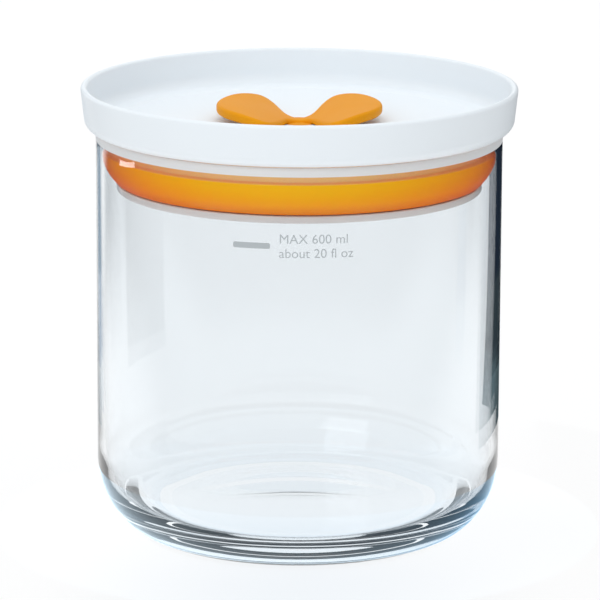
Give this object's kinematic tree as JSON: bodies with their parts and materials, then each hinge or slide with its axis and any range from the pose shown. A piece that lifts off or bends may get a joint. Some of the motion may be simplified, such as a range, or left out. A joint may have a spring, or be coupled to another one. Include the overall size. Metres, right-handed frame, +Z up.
{
  "type": "glass food storage container",
  "caption": "Round glass food canister with a flat tray-shaped white lid, an orange butterfly knob that turns to seal it, and an orange silicone ring.",
  "frame": {"origin": "on the jar's axis at the surface that the jar stands on", "axes": "+Z up along the jar's axis, -Y towards the front with the fill mark, +X to the right of someone who faces the front"},
  "size_m": [0.1136, 0.1136, 0.1185],
  "materials": {
    "clear_glass": "clear pressed glass",
    "white_lid": "soft-gloss moulded plastic",
    "orange_knob": "satin moulded plastic",
    "orange_silicone": "translucent silicone",
    "clear_plate": "clear plastic, lightly frosted",
    "natural_nylon": "uncoloured moulded nylon",
    "screw_steel": "stainless steel",
    "clear_rubber": "translucent rubber"
  },
  "bodies": {
    "jar": {"glass_jar": "clear_glass"},
    "lid": {"lid_shell": "white_lid", "seal_ring": "orange_silicone", "slip_washer": "natural_nylon"},
    "knob": {"turn_knob": "orange_knob", "cam_sleeve": "natural_nylon", "cam_screw": "screw_steel", "screw_washer": "screw_steel", "stem_o_ring": "clear_rubber"},
    "plate": {"pressure_plate": "clear_plate"}
  },
  "joints": [
    {"name": "lid_lift", "type": "slide", "parent": "jar", "child": "lid", "axis": [0, 0, 1], "range_m": [0, 0.12]},
    {"name": "knob_turn", "type": "hinge", "parent": "lid", "child": "knob", "pos_m": [0, 0, 0.109], "axis": [0, 0, 1], "range_deg": [0, 90]},
    {"name": "plate_drop", "type": "slide", "parent": "lid", "child": "plate", "axis": [0, 0, -1], "range_m": [0, 0.0025]}
  ],
  "couplings": [
    {"joint": "knob_turn", "follows": "plate_drop", "rad_per_m": 628.32}
  ]
}
